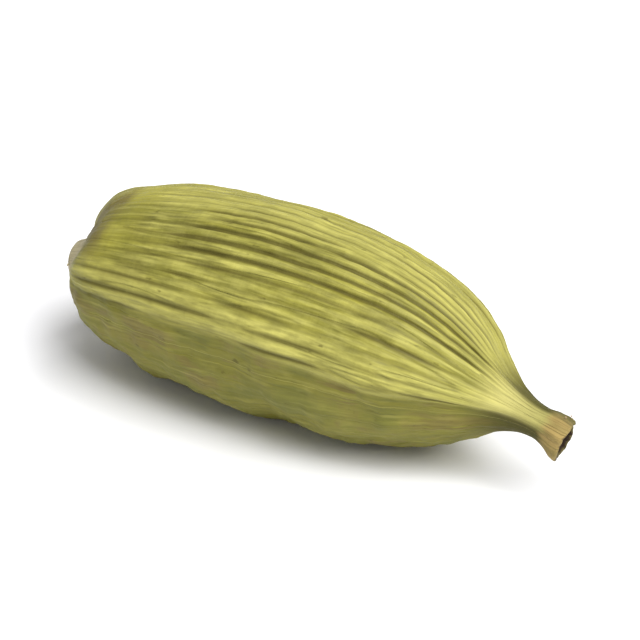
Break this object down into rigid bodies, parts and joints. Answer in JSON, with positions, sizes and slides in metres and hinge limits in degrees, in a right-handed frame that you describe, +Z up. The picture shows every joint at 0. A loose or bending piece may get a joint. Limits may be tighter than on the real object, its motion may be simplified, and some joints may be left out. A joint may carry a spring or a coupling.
{
  "type": "cardamom pod",
  "caption": "Dried green cardamom pod lying on its side: a plump ribbed husk, blunt at the stalk end and drawn out to a small collared beak.",
  "frame": {"origin": "under the middle of the pod's length and width, on the surface that it rests on", "axes": "+X along the pod from the stalk end to the beak, +Z up"},
  "size_m": [0.02, 0.0076, 0.0073],
  "materials": {
    "husk": "dry, matt, papery plant husk with pale ribs and darker valleys"
  },
  "bodies": {
    "root": {"pod": "husk"}
  },
  "joints": []
}
